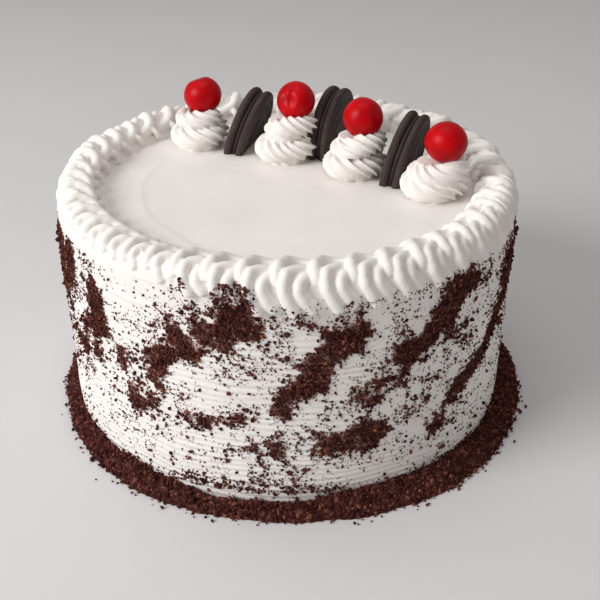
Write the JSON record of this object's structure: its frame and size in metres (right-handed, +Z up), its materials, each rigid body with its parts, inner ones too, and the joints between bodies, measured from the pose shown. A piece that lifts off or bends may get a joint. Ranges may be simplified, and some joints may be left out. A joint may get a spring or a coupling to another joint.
{
  "type": "black forest cake",
  "caption": "Whole round black forest cake: whipped cream coat, chocolate crumbs on the side and round the foot, piped scroll border, rosettes with cherries and sandwich biscuits",
  "frame": {"origin": "the middle of the cake's flat underside, on its axis", "axes": "+Z up along the cake's axis; -Y is the front, from which the row of toppings runs from back left to right; +X to the right of the front view"},
  "size_m": [0.2194, 0.2207, 0.1328],
  "materials": {
    "whipped_cream": "soft satin whipped cream, smooth on top and finely combed round the side",
    "chocolate_crumb": "dry dark reddish brown chocolate crumbs, matte",
    "cherry": "glossy red glazed cherry",
    "chocolate_wafer": "dark baked cocoa wafer with a finely ridged rim, matte",
    "chocolate_filling": "nearly black chocolate filling, matte"
  },
  "bodies": {
    "root": {"iced_cake": "whipped_cream", "crumb_heap": "chocolate_crumb", "piped_border": "whipped_cream", "rosette_1": "whipped_cream", "rosette_2": "whipped_cream", "rosette_3": "whipped_cream", "rosette_4": "whipped_cream", "cherry_1": "cherry", "cherry_2": "cherry", "cherry_3": "cherry", "cherry_4": "cherry", "biscuit_1_left_wafer": "chocolate_wafer", "biscuit_1_filling": "chocolate_filling", "biscuit_1_right_wafer": "chocolate_wafer", "biscuit_2_left_wafer": "chocolate_wafer", "biscuit_2_filling": "chocolate_filling", "biscuit_2_right_wafer": "chocolate_wafer", "biscuit_3_left_wafer": "chocolate_wafer", "biscuit_3_filling": "chocolate_filling", "biscuit_3_right_wafer": "chocolate_wafer"}
  },
  "joints": []
}
